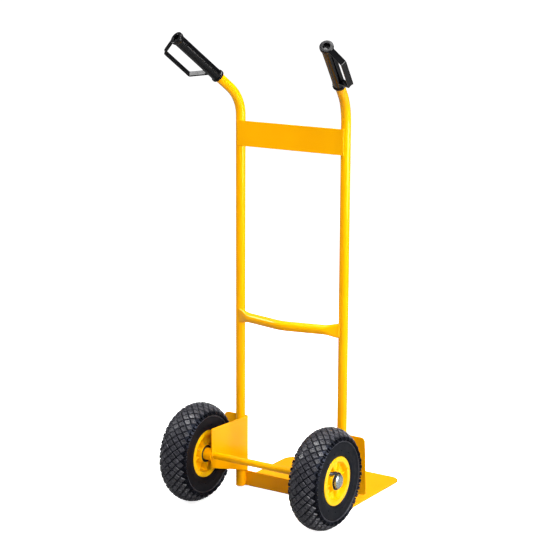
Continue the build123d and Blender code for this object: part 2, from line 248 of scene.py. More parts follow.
# Polyester powder coat, sprayed dry and baked: an even, saturated yellow with a high gloss.
# Its orange peel is really 2 mm across. A wider, flatter wave at 9 mm stands for the spraying.
powder_coat = finished(
    "powder_coat_yellow",
    ("#F7A600", "#FCB000"),
    {"size": 0.16},
    (0.13, 0.20),
    (0.05, 3.0),
    [(0.009, 1.0, 0.00004), (0.0016, 1.0, 0.00002)],
    IOR=1.5,
    Specular_IOR_Level=0.4,
    Specular_Tint=linear("#FFE79A"),
)


def new_piece(name, bm, material, body, slot, *nodes, sharp=32.0, bevel=0.0):
    """Close a shape, turn it outwards, finish its edges, hang it on its body, and hide the nodes that it
    stands in for.
    """
    bmesh.ops.remove_doubles(bm, verts=bm.verts, dist=0.000005)
    bmesh.ops.recalc_face_normals(bm, faces=bm.faces)
    mesh = bpy.data.meshes.new(name)
    bm.to_mesh(mesh)
    bm.free()
    mesh.materials.append(material)
    mesh.shade_smooth()
    mesh.set_sharp_from_angle(angle=radians(sharp))
    piece = bpy.data.objects.new(name, mesh)
    bpy.context.scene.collection.objects.link(piece)
    if bevel:
        edge = piece.modifiers.new("rounded_edges", "BEVEL")
        edge.width = bevel
        edge.segments = 3
        edge.limit_method = "ANGLE"
        edge.angle_limit = radians(40)
        edge.harden_normals = True
    else:
        piece.modifiers.new("even_shading", "WEIGHTED_NORMAL").keep_sharp = True
    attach(piece, body)
    if nodes:
        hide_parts(*nodes)
    return piece


def skin(bm, rings, loop=False):
    """Join rings of points into a surface: closed round on itself, or with two flat ends."""
    rows = [[bm.verts.new(point) for point in ring] for ring in rings]
    for near, far in zip(rows, rows[1:] + rows[:1] if loop else rows[1:]):
        for at in range(len(near)):
            after = (at + 1) % len(near)
            bm.faces.new((near[at], near[after], far[after], far[at]))
    if not loop:
        bm.faces.new(rows[0])
        bm.faces.new(rows[-1])


def rounded(corners, closed=False, steps=5):
    """Points along a polyline of (a, b, radius), with an arc at each corner that has one."""
    points = []
    for at, (a, b, radius) in enumerate(corners):
        here = Vector((a, b))
        end = not closed and at in (0, len(corners) - 1)
        if end or not radius:
            points.append(here)
            continue
        before = Vector(corners[at - 1][:2]) - here
        after = Vector(corners[(at + 1) % len(corners)][:2]) - here
        half = before.angle(after) / 2
        middle = here + (before.normalized() + after.normalized()).normalized() * radius / sin(half)
        first = here + before.normalized() * radius / tan(half) - middle
        last = here + after.normalized() * radius / tan(half) - middle
        start = atan2(first.y, first.x)
        swing = (atan2(last.y, last.x) - start + pi) % (2 * pi) - pi
        for step in range(steps + 1):
            turn = start + swing * step / steps
            points.append(middle + Vector((cos(turn), sin(turn))) * radius)
    return points


def swept(path, normal, section):
    """Rings of a section, as (across, along the normal), carried down a flat path of points."""
    rings = []
    for at, point in enumerate(path):
        run = (path[min(at + 1, len(path) - 1)] - path[max(at - 1, 0)]).normalized()
        side = run.cross(normal)
        shape = section(at) if callable(section) else section
        rings.append([point + side * across + normal * along for across, along in shape])
    return rings


def circle(radius, count=48):
    """The points of a circle, as (across, along)."""
    turns = [2 * pi * at / count for at in range(count)]
    return [(radius * cos(turn), radius * sin(turn)) for turn in turns]


up = Vector((0, 0, 1))
tube_r, tube_bore_r = 0.0125, 0.011
upright_x, upright_y = 0.156, -0.005
foot_z, bend_z, bend_r = 0.0045, 0.998, 0.093
splay, bend_angle = radians(16.7), radians(52.0)
handle_run, tube_in_grip, bend_lead_in = 0.047, 0.1575, 0.004


class Side:
    """One side of the truck: -1 for the left and 1 for the right, with its handle's lines."""

    def __init__(self, name, sign):
        self.name, self.sign, self.wheel = name, sign, f"{name}_wheel"
        self.out = Vector((sign * sin(splay), -cos(splay), 0))
        self.handle = self.out * sin(bend_angle) + up * cos(bend_angle)
        self.bend_start = Vector((sign * upright_x, upright_y, bend_z))
        self.grip_start = (
            self.bend_start
            + self.out * bend_r * (1 - cos(bend_angle))
            + up * bend_r * sin(bend_angle)
            + self.handle * handle_run
        )
        spin = next(j for j in frame["joints"] if j["child"] == self.wheel)
        self.hub = Vector(spin["pos_m"])

    def mirrored(self, bm):
        """Flip a right-hand shape over for the left."""
        if self.sign < 0:
            bmesh.ops.scale(bm, vec=(-1, 1, 1), verts=bm.verts)

    def at_hub(self, bm):
        """Set a right-hand wheel's shape, drawn about the origin, at this side's hub."""
        self.mirrored(bm)
        bmesh.ops.translate(bm, vec=self.hub, verts=bm.verts)


sides = [Side("left", -1), Side("right", 1)]
bend_steps = 26
for side in sides:
    line = [Vector((side.sign * upright_x, upright_y, foot_z)), side.bend_start]
    for step in range(1, bend_steps + 1):
        turn = bend_angle * step / bend_steps
        line.append(
            side.bend_start + side.out * bend_r * (1 - cos(turn)) + up * bend_r * sin(turn)
        )
    line.append(side.grip_start + side.handle * tube_in_grip)
    line.insert(1, line[0].lerp(line[1], 0.5))
    line.insert(2, line[2] - up * bend_lead_in)
    bm = bmesh.new()
    across = side.out.cross(up)
    outside = swept(line, across, circle(tube_r))
    inside = swept(line, across, circle(tube_bore_r))
    skin(bm, outside + inside[::-1], loop=True)
    name, node = f"{side.name}_upright_tube", f"{side.name}_upright"
    new_piece(name, bm, powder_coat, "frame", "frame_paint", node)

# ---- Cross plate -------------------------------------------------------------------------------
# A 65 by 3 mm flat bar laid across the backs of the uprights and welded down both of its ends.
# Its sheared edges are knocked back to a small radius before coating.
sheet_edge_r = 0.0007


def flat_plate(corners, thickness, place):
    """A plate of an outline in its own flat, with place turning (a, b, depth) into the truck."""
    bm = bmesh.new()
    face = bm.faces.new([bm.verts.new((a, b, 0)) for a, b in rounded(corners, closed=True)])
    extruded = bmesh.ops.extrude_face_region(bm, geom=[face])["geom"]
    raised_verts = [part for part in extruded if isinstance(part, bmesh.types.BMVert)]
    bmesh.ops.translate(bm, vec=(0, 0, thickness), verts=raised_verts)
    for vert in bm.verts:
        vert.co = place(*vert.co)
    return bm


plate_low, plate_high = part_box("cross_plate")
plate_corner_r = 0.002
bm = flat_plate(
    [
        (plate_low.x, plate_low.z, plate_corner_r),
        (plate_high.x, plate_low.z, plate_corner_r),
        (plate_high.x, plate_high.z, plate_corner_r),
        (plate_low.x, plate_high.z, plate_corner_r),
    ],
    plate_high.y - plate_low.y,
    lambda a, b, depth: Vector((a, plate_low.y + depth, b)),
)
new_piece(
    "cross_plate_bar", bm, powder_coat, "frame", "frame_paint", "cross_plate", bevel=sheet_edge_r
)

# ---- Middle crossbar ---------------------------------------------------------------------------
# A length of the same tube bowed backwards in the middle. Its ends are pressed flat in a die,
# which flares them to 37 mm high, and are cut and welded to the backs of the uprights.
crossbar_z, crossbar_bow, crossbar_bend_r = 0.4745, 0.0339, 0.094
crossbar_end = Vector((0.1495, -0.0175, crossbar_z))
press_length, press_half_thick, press_half_height = 0.042, 0.0034, 0.0185
bar_run = [
    (-crossbar_end.x, crossbar_end.y, 0),
    (0, crossbar_end.y - crossbar_bow, crossbar_bend_r),
    (crossbar_end.x, crossbar_end.y, 0),
]
bar_line = [Vector((a, b, crossbar_z)) for a, b in rounded(bar_run, steps=24)]
press_steps = 18
for end in ("left", "right"):
    inward = (bar_line[1] - bar_line[0]).normalized() * press_length / press_steps
    press = [bar_line[0] + inward * step for step in range(press_steps + 1)]
    bar_line = (press + bar_line[1:])[::-1]


def bar_section(at):
    """The bar's section at a station: round, or pressed towards a flat upright oval."""
    reach = crossbar_end.x - abs(bar_line[at].x)
    share = max(0.0, 1 - reach / (press_length * 0.95))
    pressed = share * share * (3 - 2 * share)
    half_thick = tube_r + (press_half_thick - tube_r) * pressed
    half_height = tube_r + (press_half_height - tube_r) * pressed**1.25
    squareness = 1 - 0.42 * pressed
    points = []
    for across, along in circle(1.0, 56):
        flat = abs(across) ** squareness * (1 if across > 0 else -1)
        tall = abs(along) ** squareness * (1 if along > 0 else -1)
        points.append((flat * half_thick, tall * half_height))
    return points


bm = bmesh.new()
skin(bm, swept(bar_line, up, bar_section))
new_piece("middle_crossbar_tube", bm, powder_coat, "frame", "frame_paint", "middle_crossbar")


# ---- Toe plate ---------------------------------------------------------------------------------
# One 4 mm steel sheet: a flat blade with two rounded front corners, and a flange folded up at
# its back edge and welded across the fronts of both uprights.
def folded(flat_mesh, thickness, start, first_run, second_run, bend_at, inner_r):
    """Fold a sheet that lies flat as (along, across, depth) through a right angle.

    start is where along = 0 lies on the sheet's middle, and the inside of the bend is the side
    of greater depth.
    """
    middle_r = inner_r + thickness / 2
    bend_length = middle_r * pi / 2
    fold_steps = 8
    for step in range(fold_steps + 1):
        bmesh.ops.bisect_plane(
            flat_mesh,
            geom=flat_mesh.verts[:] + flat_mesh.edges[:] + flat_mesh.faces[:],
            plane_co=(bend_at + bend_length * step / fold_steps, 0, 0),
            plane_no=(1, 0, 0),
        )
    across = first_run.cross(second_run)
    centre = start + first_run * bend_at + second_run * middle_r
    for vert in flat_mesh.verts:
        along, sideways, depth = vert.co
        depth -= thickness / 2
        turn = min(max((along - bend_at) / middle_r, 0.0), pi / 2)
        outward = second_run * -cos(turn) + first_run * sin(turn)
        spot = centre + outward * (middle_r - depth)
        spot += first_run * min(along - bend_at, 0.0)
        spot += second_run * max(along - bend_at - bend_length, 0.0)
        vert.co = spot + across * sideways
    return flat_mesh


toe_low, toe_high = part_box("toe_plate")
toe_thick, toe_inner_r, toe_corner_r, flange_corner_r = 0.004, 0.0012, 0.032, 0.004
toe_edge_r = 0.0009
toe_bend_at = toe_high.z - toe_thick - toe_inner_r
toe_arc = (toe_inner_r + toe_thick / 2) * pi / 2
toe_reach = toe_bend_at + toe_arc + (toe_high.y - toe_low.y - toe_thick - toe_inner_r)
bm = flat_plate(
    [
        (0, -toe_high.x, flange_corner_r),
        (toe_reach, -toe_high.x, toe_corner_r),
        (toe_reach, toe_high.x, toe_corner_r),
        (0, toe_high.x, flange_corner_r),
    ],
    toe_thick,
    lambda a, b, depth: Vector((a, b, depth)),
)
folded(
    bm,
    toe_thick,
    Vector((0, toe_low.y + toe_thick / 2, toe_high.z)),
    Vector((0, 0, -1)),
    Vector((0, 1, 0)),
    toe_bend_at,
    toe_inner_r,
)
new_piece("toe_plate_sheet", bm, powder_coat, "frame", "frame_paint", "toe_plate", bevel=toe_edge_r)

# ---- Axle brackets with wheel guards -----------------------------------------------------------
# One 3 mm sheet on each side, laser cut and folded once: a gusset that holds the axle, welded
# inside the upright, and a guard that stands across the front of the upright and the wheel.
bracket_thick, bracket_inner_r = 0.003, 0.0016
gusset_rear_y, gusset_x, guard_y = -0.161, 0.142, 0.009
gusset_top_rear, gusset_top_front = 0.203, 0.197
gusset_low_rear, gusset_low_front = 0.098, 0.044
guard_top_x, guard_low_x = 0.216, 0.222
gusset_corner_r, guard_top_corner_r, guard_low_corner_r = 0.003, 0.012, 0.008
bracket_fold = bracket_inner_r + bracket_thick / 2
bracket_bend_at = guard_y - gusset_rear_y - bracket_fold
bracket_arc = bracket_fold * pi / 2
guard_start = bracket_bend_at + bracket_arc - (gusset_x + bracket_fold)
for side in sides:
    bm = flat_plate(
        [
            (0, gusset_low_rear, gusset_corner_r),
            (bracket_bend_at + bracket_arc / 2, gusset_low_front, 0),
            (guard_start + guard_low_x, gusset_low_front, guard_low_corner_r),
            (guard_start + guard_top_x, gusset_top_front, guard_top_corner_r),
            (bracket_bend_at + bracket_arc / 2, gusset_top_front, 0),
            (0, gusset_top_rear, gusset_corner_r),
        ],
        bracket_thick,
        lambda a, b, depth: Vector((a, -b, depth)),
    )
    folded(
        bm,
        bracket_thick,
        Vector((gusset_x, gusset_rear_y, 0)),
        Vector((0, 1, 0)),
        Vector((1, 0, 0)),
        bracket_bend_at,
        bracket_inner_r,
    )
    side.mirrored(bm)
    name, node = f"{side.name}_bracket_sheet", f"{side.name}_axle_bracket"
    new_piece(name, bm, powder_coat, "frame", "frame_paint", node, bevel=sheet_edge_r)


# ---- Axle and collars --------------------------------------------------------------------------
# A solid 18 mm steel bar through both gussets, turned down to 17 mm where the bearings sit, with
# a stepped collar pushed on between each gusset and its wheel. Coated with the frame.
def carried_over(node, material):
    """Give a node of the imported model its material."""
    frame["nodes"][node].data.materials[0] = material


for node in ("axle", "left_axle_collar", "right_axle_collar"):
    carried_over(node, powder_coat)

# ---- Weld beads --------------------------------------------------------------------------------
# MIG weld beads where the frame's steel parts meet: a row of overlapping ripples about 1.7 mm
# apart, laid by hand, so they vary a little, and coated with the frame.
def new_tree(name, geometry_in, inputs, geometry_out):
    """A Geometry Nodes tree, its inputs' identifiers by name, and the sockets that they feed."""
    tree = bpy.data.node_groups.new(name, "GeometryNodeTree")
    tree.is_modifier = True
    tree.interface.new_socket(geometry_in, in_out="INPUT", socket_type="NodeSocketGeometry")
    identifiers = {}
    for label, kind in inputs.items():
        socket_type = f"NodeSocket{kind}"
        socket = tree.interface.new_socket(label, in_out="INPUT", socket_type=socket_type)
        identifiers[label] = socket.identifier
    tree.interface.new_socket(geometry_out, in_out="OUTPUT", socket_type="NodeSocketGeometry")
    return tree, identifiers, add_node(tree, "NodeGroupInput").outputs


def maths(tree, operation, *terms):
    """The result of one Math node on numbers or sockets."""
    values = {at: term for at, term in enumerate(terms) if isinstance(term, (int, float))}
    links = {at: term for at, term in enumerate(terms) if at not in values}
    return add_node(tree, "ShaderNodeMath", values, links, operation=operation).outputs[0]


def end_tree(tree, instances, material):
    """Make a tree's instances real, give them their material, and hand them out."""
    real = add_node(tree, "GeometryNodeRealizeInstances", links={"Geometry": instances})
    links = {"Geometry": real.outputs["Geometry"], "Material": material}
    dressed = add_node(tree, "GeometryNodeSetMaterial", links=links)
    add_node(tree, "NodeGroupOutput", links={0: dressed.outputs["Geometry"]})


weld_tree, weld_sockets, weld_in = new_tree(
    "weld_ripples",
    "Seams",
    {
        "Bead Width": "Float",
        "Ripple Pitch": "Float",
        "Unevenness": "Float",
        "Seed": "Int",
        "Coating": "Material",
    },
    "Beads",
)
seam = add_node(weld_tree, "GeometryNodeMeshToCurve", links={"Mesh": weld_in["Seams"]})
stops = add_node(
    weld_tree,
    "GeometryNodeResampleCurve",
    mode="LENGTH",
    links={"Curve": seam.outputs["Curve"], "Length": weld_in["Ripple Pitch"]},
)
ripple = add_node(
    weld_tree,
    "GeometryNodeMeshUVSphere",
    values={"Segments": 10, "Rings": 6},
    links={"Radius": maths(weld_tree, "MULTIPLY", weld_in["Bead Width"], 0.5)},
)
thin_ripple = add_node(
    weld_tree,
    "GeometryNodeTransform",
    values={"Scale": (0.92, 1.0, 0.62), "Rotation": (0, radians(24), 0)},
    links={"Geometry": ripple.outputs["Mesh"]},
)
run_direction = add_node(weld_tree, "GeometryNodeInputTangent")
facing = add_node(
    weld_tree,
    "FunctionNodeAlignRotationToVector",
    axis="Z",
    links={"Vector": run_direction.outputs["Tangent"]},
)
swell = add_node(
    weld_tree,
    "FunctionNodeRandomValue",
    data_type="FLOAT",
    links={
        2: maths(weld_tree, "SUBTRACT", 1.0, weld_in["Unevenness"]),
        3: maths(weld_tree, "ADD", 1.0, weld_in["Unevenness"]),
        "Seed": weld_in["Seed"],
    },
)
laid = add_node(
    weld_tree,
    "GeometryNodeInstanceOnPoints",
    links={
        "Points": stops.outputs["Curve"],
        "Instance": thin_ripple.outputs["Geometry"],
        "Rotation": facing.outputs["Rotation"],
        "Scale": swell.outputs[1],
    },
)
end_tree(weld_tree, laid.outputs["Instances"], weld_in["Coating"])


def grown(name, source_mesh, tree, identifiers, inputs):
    """Run a Geometry Nodes tree on a mesh and keep the result as a plain piece."""
    source = bpy.data.objects.new(name, source_mesh)
    bpy.context.scene.collection.objects.link(source)
    modifier = source.modifiers.new(tree.name, "NODES")
    modifier.node_group = tree
    for label, value in inputs.items():
        modifier[identifiers[label]] = value
    bpy.context.view_layer.update()
    seen = source.evaluated_get(bpy.context.evaluated_depsgraph_get())
    mesh = bpy.data.meshes.new_from_object(seen)
    source.modifiers.remove(modifier)
    source.data = mesh
    mesh.name = name
    return source


seam_mesh = bpy.data.meshes.new("weld_seams")
seam_points, seam_edges = [], []


def add_seam(points, closed=False):
    """Add one seam for a bead to follow."""
    first = len(seam_points)
    seam_points.extend(points)
    seam_edges.extend((at, at + 1) for at in range(first, len(seam_points) - 1))
    if closed:
        seam_edges.append((len(seam_points) - 1, first))


# Where the beads run on the right-hand side. The left side's are their mirror images.
plate_bead_stand, plate_bead_y, plate_bead_z = 0.0005, plate_low.y + 0.0022, (0.9215, 0.953, 0.9855)
bar_bead_spots, bar_bead_half = ((0.1507, -0.0180), (0.1434, -0.0128)), 0.0165
foot_bead_side, foot_bead_y, foot_bead_z = 0.0088, 0.0058, (0.008, 0.024, 0.0405)
gusset_bead_x, gusset_bead_y = 0.1446, -0.0125
gusset_bead_runs = ((0.052, 0.078), (0.110, 0.136), (0.166, 0.192))
axle_bead_spots, axle_bead_r = (0.1403, 0.1437), 0.0098
for side in sides:
    x = side.sign
    plate_end = x * (plate_high.x + plate_bead_stand)
    add_seam([Vector((plate_end, plate_bead_y, z)) for z in plate_bead_z])
    for bead_x, bead_y in bar_bead_spots:
        ends = (crossbar_z - bar_bead_half, crossbar_z + bar_bead_half)
        add_seam([Vector((x * bead_x, bead_y, z)) for z in ends])
    for face in (-1, 1):
        foot_x = x * upright_x + face * foot_bead_side
        add_seam([Vector((foot_x, foot_bead_y, z)) for z in foot_bead_z])
    for ends in gusset_bead_runs:
        add_seam([Vector((x * gusset_bead_x, gusset_bead_y, z)) for z in ends])
    for bead_x in axle_bead_spots:
        ring = circle(axle_bead_r, 24)
        add_seam([Vector((x * bead_x, side.hub.y + a, side.hub.z + b)) for a, b in ring], closed=True)
seam_mesh.from_pydata(seam_points, seam_edges, [])
weld_beads = grown(
    "weld_beads",
    seam_mesh,
    weld_tree,
    weld_sockets,
    {
        "Bead Width": 0.0046,
        "Ripple Pitch": 0.0017,
        "Unevenness": 0.14,
        "Seed": 11,
        "Coating": powder_coat,
    },
)
weld_beads.data.shade_smooth()
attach(weld_beads, "frame")

# ---- Tyres -------------------------------------------------------------------------------------
# Pneumatic tyres, 260 mm across and 82 mm wide, moulded in black rubber: a smooth sidewall with
# a raised line and the nibs that the mould's vents leave, and a tread of diamond blocks.
# Vulcanised rubber, moulded against polished steel: near black and slightly glossy, with a faint
# bloom of wax that dulls it in patches.
tyre_rubber = finished(
    "moulded_tyre_rubber",
    ("#07080B", "#0F1014"),
    {"size": 0.035, "detail": 4.0},
    (0.38, 0.50),
    (0.012, 3.0),
    [(0.0025, 2.0, 0.00012)],
    IOR=1.52,
    Specular_IOR_Level=0.14,
    Specular_Tint=linear("#CBD7FF"),
)

# The same rubber on the blocks and the raised line, paler and shinier. The paler tone is painted sheen:
# it stands for the light that these raised faces catch.
sheen_painted_rubber = finished(
    "scuffed_tread_rubber",
    ("#25252A", "#3E3E45"),
    {"size": 0.011, "detail": 4.0},
    (0.26, 0.42),
    (0.006, 3.0),
    [(0.0022, 2.0, 0.00010)],
    IOR=1.52,
    Specular_IOR_Level=0.45,
)


def turned(bm, profile, centre, count=72):
    """Turn a closed profile of (distance along X, radius) about the axle line."""
    rings = []
    for along, radius in profile:
        rings.append([centre + Vector((along, -b, a)) for a, b in circle(radius, count)])
    skin(bm, rings, loop=True)


crown_r, crown_centre_r, tread_depth = 0.0500, 0.0800, 0.0042
tyre_offset, bead_top_r, tyre_steps_round = 0.0014, 0.0628, 144
carcass_profile = [
    (0.0310, 0.0505, 0.0004),
    (0.0310, 0.0622, 0.0012),
    (0.0338, 0.0634, 0.0010),
    (0.0352, 0.0650, 0.0008),
    (0.0366, 0.0690, 0.0030),
    (0.0374, 0.0780, 0.0200),
    (0.0370, 0.0960, 0.0200),
    (0.0362, 0.1022, 0.0020),
    (0.0382, 0.1030, 0.0005),
    (0.0376, 0.1062, 0.0005),
    (0.0352, 0.1066, 0.0008),
]
groove_r, groove_steps, groove_turn = crown_r - tread_depth, 20, radians(51.5)
tyre_half = rounded(carcass_profile, steps=4)
bead_points = sum(point.y < bead_top_r for point in tyre_half)
for step in range(groove_steps + 1):
    turn = groove_turn * (1 - step / groove_steps)
    tyre_half.append(Vector((groove_r * sin(turn), crown_centre_r + groove_r * cos(turn))))
inboard_shift = [0.0 if at < bead_points else tyre_offset for at in range(len(tyre_half))]
outer_half = [(p.x - off, p.y) for p, off in zip(tyre_half, inboard_shift)]
inner_half = [(-p.x - off, p.y) for p, off in zip(tyre_half, inboard_shift)]
tyre_bore = rounded(
    [
        (-0.0210, 0.0505, 0.001),
        (-0.0335, 0.0880, 0.020),
        (0.0000, 0.1170, 0.030),
        (0.0320, 0.0880, 0.020),
        (0.0210, 0.0505, 0.001),
    ],
    steps=6,
)
tyre_outline = outer_half + inner_half[-2::-1] + [(p.x, p.y) for p in tyre_bore]

tread_tree, tread_sockets, tread_in = new_tree(
    "blocks_round_a_tyre",
    "Block",
    {
        "Around": "Int",
        "Rows": "Int",
        "Row Angle": "Float",
        "Stagger": "Float",
        "Base Radius": "Float",
        "Crown Centre": "Float",
        "Full Radius": "Float",
        "Unevenness": "Float",
        "Seed": "Int",
        "Turn": "Float",
        "Hub": "Vector",
        "Rubber": "Material",
    },
    "Tread",
)


def tread_maths(operation, *terms):
    """One Math node of the tread's tree."""
    return maths(tread_tree, operation, *terms)


block_count = tread_maths("MULTIPLY", tread_in["Around"], tread_in["Rows"])
spots = add_node(tread_tree, "GeometryNodePoints", links={"Count": block_count})
number = add_node(tread_tree, "GeometryNodeInputIndex").outputs[0]
row = tread_maths("FLOOR", tread_maths("DIVIDE", number, tread_in["Around"]))
column = tread_maths("MODULO", number, tread_in["Around"])
last_row = tread_maths("SUBTRACT", tread_in["Rows"], 1.0)
middle_row = tread_maths("MULTIPLY", last_row, 0.5)
tilt = tread_maths("MULTIPLY", tread_maths("SUBTRACT", row, middle_row), tread_in["Row Angle"])
odd_row = tread_maths("MODULO", row, 2.0)
shift = tread_maths("MULTIPLY_ADD", odd_row, tread_in["Stagger"], tread_in["Turn"])
share_round = tread_maths("DIVIDE", tread_maths("ADD", column, shift), tread_in["Around"])
round_turn = tread_maths("MULTIPLY", share_round, 2 * pi)
spot_x = tread_maths("MULTIPLY", tread_in["Base Radius"], tread_maths("SINE", tilt))
rise = tread_maths("MULTIPLY", tread_in["Base Radius"], tread_maths("COSINE", tilt))
spot_r = tread_maths("ADD", rise, tread_in["Crown Centre"])
rearward = tread_maths("MULTIPLY", spot_r, tread_maths("SINE", round_turn))
spot_y = tread_maths("MULTIPLY", rearward, -1.0)
spot_z = tread_maths("MULTIPLY", spot_r, tread_maths("COSINE", round_turn))
spot = {"X": spot_x, "Y": spot_y, "Z": spot_z}
spot = add_node(tread_tree, "ShaderNodeCombineXYZ", links=spot).outputs[0]
spots_in_place = {"Geometry": spots.outputs[0], "Position": spot}
placed_spots = add_node(tread_tree, "GeometryNodeSetPosition", links=spots_in_place)
lean = add_node(tread_tree, "ShaderNodeCombineXYZ", links={"Y": tilt}).outputs[0]
roll_round = add_node(tread_tree, "ShaderNodeCombineXYZ", links={"X": round_turn}).outputs[0]
lean_turn = add_node(tread_tree, "FunctionNodeEulerToRotation", links={"Euler": lean})
round_rotation = add_node(tread_tree, "FunctionNodeEulerToRotation", links={"Euler": roll_round})
block_turn = add_node(
    tread_tree,
    "FunctionNodeRotateRotation",
    rotation_space="GLOBAL",
    links={"Rotation": lean_turn.outputs[0], "Rotate By": round_rotation.outputs[0]},
)
shorter = tread_maths("DIVIDE", spot_r, tread_in["Full Radius"])
taller = add_node(
    tread_tree,
    "FunctionNodeRandomValue",
    data_type="FLOAT",
    values={3: 1.0},
    links={2: tread_maths("SUBTRACT", 1.0, tread_in["Unevenness"]), "Seed": tread_in["Seed"]},
).outputs[1]
block_scale = add_node(
    tread_tree, "ShaderNodeCombineXYZ", values={"X": 1.0}, links={"Y": shorter, "Z": taller}
).outputs[0]
blocks = add_node(
    tread_tree,
    "GeometryNodeInstanceOnPoints",
    links={
        "Points": placed_spots.outputs[0],
        "Instance": tread_in["Block"],
        "Rotation": block_turn.outputs[0],
        "Scale": block_scale,
    },
)
to_hub = {"Geometry": blocks.outputs[0], "Translation": tread_in["Hub"]}
on_hub = add_node(tread_tree, "GeometryNodeTransform", links=to_hub)
end_tree(tread_tree, on_hub.outputs[0], tread_in["Rubber"])


def block_mesh(name, outline, levels):
    """A block as one outline of (x, y) at a series of (height, size, size), sunk at its foot."""
    bm = bmesh.new()
    skin(bm, [[Vector((x * sx, y * sy, z)) for x, y in outline] for z, sx, sy in levels])
    bmesh.ops.recalc_face_normals(bm, faces=bm.faces)
    mesh = bpy.data.meshes.new(name)
    bm.to_mesh(mesh)
    bm.free()
    return mesh


blocks_around = 36
row_gap = pi * (crown_centre_r + crown_r) / blocks_around
row_angle = row_gap / crown_r
diamond = rounded([(1, 0, 0.10), (0, 1, 0.10), (-1, 0, 0.10), (0, -1, 0.10)], True, 1)
diamond_levels = [
    (-0.0008, 0.0096, 0.0096),
    (0.0004, 0.0091, 0.0091),
    (tread_depth - 0.0008, 0.0085, 0.0085),
    (tread_depth, 0.0076, 0.0076),
    (tread_depth, 0.0046, 0.0046),
    (tread_depth - 0.0012, 0.0038, 0.0038),
]
square = rounded([(1, 1, 0.2), (-1, 1, 0.2), (-1, -1, 0.2), (1, -1, 0.2)], True, 1)
lug_levels = [(-0.0015, 0.0050, 0.0056), (0.0040, 0.0043, 0.0048), (0.0049, 0.0035, 0.0040)]
rib_levels = [(-0.0015, 0.0042, 0.0020), (0.0032, 0.0040, 0.0017), (0.0040, 0.0034, 0.0012)]
nib_levels = [(-0.0010, 0.0017, 0.0017), (0.0015, 0.0014, 0.0014), (0.0021, 0.0008, 0.0008)]
nib = circle(1.0, 8)
nib_reach, nib_ring_r, nib_turn, nibs_around = 0.0371, 0.0750, radians(172), 14
shoulder_turn = 2 * 4.2 * row_angle
tread_parts = [
    # name, outline, levels, around, rows, row angle, base radius, crown centre, stagger, turn
    ("blocks", diamond, diamond_levels, blocks_around, 7, row_angle, groove_r, crown_centre_r, 0.5, 0.0),
    ("lugs", square, lug_levels, blocks_around, 2, shoulder_turn, groove_r, crown_centre_r, 0.0, 0.5),
    ("ribs", square, rib_levels, blocks_around, 2, shoulder_turn, groove_r, crown_centre_r, 0.0, 0.0),
    ("nibs", nib, nib_levels, nibs_around, 2, nib_turn, nib_reach, nib_ring_r, 0.4, 0.2),
]
ring_line = rounded(
    [
        (0.0360, 0.0986, 0.0004),
        (0.0387, 0.0998, 0.0006),
        (0.0385, 0.1012, 0.0006),
        (0.0356, 0.1024, 0.0004),
    ],
    closed=True,
    steps=2,
)
for side in sides:
    tyre_node = f"{side.name}_tyre"
    bm = bmesh.new()
    outline = [(side.sign * along, radius) for along, radius in tyre_outline]
    turned(bm, outline, side.hub, tyre_steps_round)
    name = f"{side.name}_tyre_carcass"
    new_piece(name, bm, tyre_rubber, side.wheel, "tyre_rubber", tyre_node)
    # The raised line is drawn in the paler rubber, whose tone is a painted highlight along its ridge.
    bm = bmesh.new()
    for face in (1, -1):
        outline = [(side.sign * (face * p.x - tyre_offset), p.y) for p in ring_line]
        turned(bm, outline, side.hub, tyre_steps_round)
    name = f"{side.name}_sidewall_lines"
    new_piece(name, bm, sheen_painted_rubber, side.wheel, "tyre_rubber", tyre_node)
    tyre_middle = side.hub - Vector((side.sign * tyre_offset, 0, 0))
    # The blocks take the paler rubber too, whose tone is painted sheen on them.
    for label, outline, levels, around, rows, angle, base, centre, stagger, turn in tread_parts:
        name = f"{side.name}_tread_{label}"
        inputs = {
            "Around": around,
            "Rows": rows,
            "Row Angle": float(angle),
            "Stagger": stagger,
            "Base Radius": base,
            "Crown Centre": centre,
            "Full Radius": crown_centre_r + crown_r,
            "Unevenness": 0.05,
            "Seed": 7,
            "Hub": tuple(tyre_middle),
            "Turn": turn,
            "Rubber": sheen_painted_rubber if label == "blocks" else tyre_rubber,
        }
        block = block_mesh(name, outline, levels)
        tread = grown(name, block, tread_tree, tread_sockets, inputs)
        tread.data.shade_smooth()
        tread.data.set_sharp_from_angle(angle=radians(20))
        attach(tread, side.wheel)

# ---- Wheel rims --------------------------------------------------------------------------------
# One-piece rims injection moulded in yellow nylon: a face ring, a dish with eight ribs and
# pockets between them, a boss for the bearings, and one deeper pocket for the valve.
# Moulded nylon: bright and glossy, slightly soft in its shadows, with faint flow marks.
rim_nylon = finished(
    "moulded_yellow_nylon",
    ("#FDBC00", "#FFC802"),
    {"size": 0.02, "detail": 3.0, "Distortion": 1.2},
    (0.26, 0.38),
    (0.009, 2.0),
    [(0.004, 2.0, 0.00010)],
    IOR=1.53,
    Specular_Tint=linear("#FFEC90"),
    Subsurface_Weight=0.08,
    Subsurface_Scale=0.004,
)

rim_steps_round, rib_count = 432, 8
rib_turns = [radians(12 + 360 * at / rib_count) for at in range(rib_count)]
valve_turn, valve_half_turn = radians(128), (radians(21), radians(25))
boss_face, boss_inner_r = 0.0320, 0.0200


def ease(start, end, value):
    """0 before start, 1 after end, and a smooth rise between."""
    share = np.clip((value - start) / (end - start), 0, 1)
    return share * share * (3 - 2 * share)


def rib_share(radius, turns, half_width, flank):
    """1 on a rib's top and 0 between the ribs, for one radius and all turns."""
    nearest = np.full_like(turns, 1.0)
    for rib in rib_turns:
        away = np.abs((turns - rib + pi) % (2 * pi) - pi)
        nearest = np.minimum(nearest, np.where(away < pi / 2, radius * np.sin(away), 1.0))
    return 1 - ease(half_width, half_width + flank, nearest)


def valve_share(turns):
    """1 in the pocket that holds the valve and 0 elsewhere."""
    away = np.abs((turns - valve_turn + pi) % (2 * pi) - pi)
    return 1 - ease(*valve_half_turn, away)


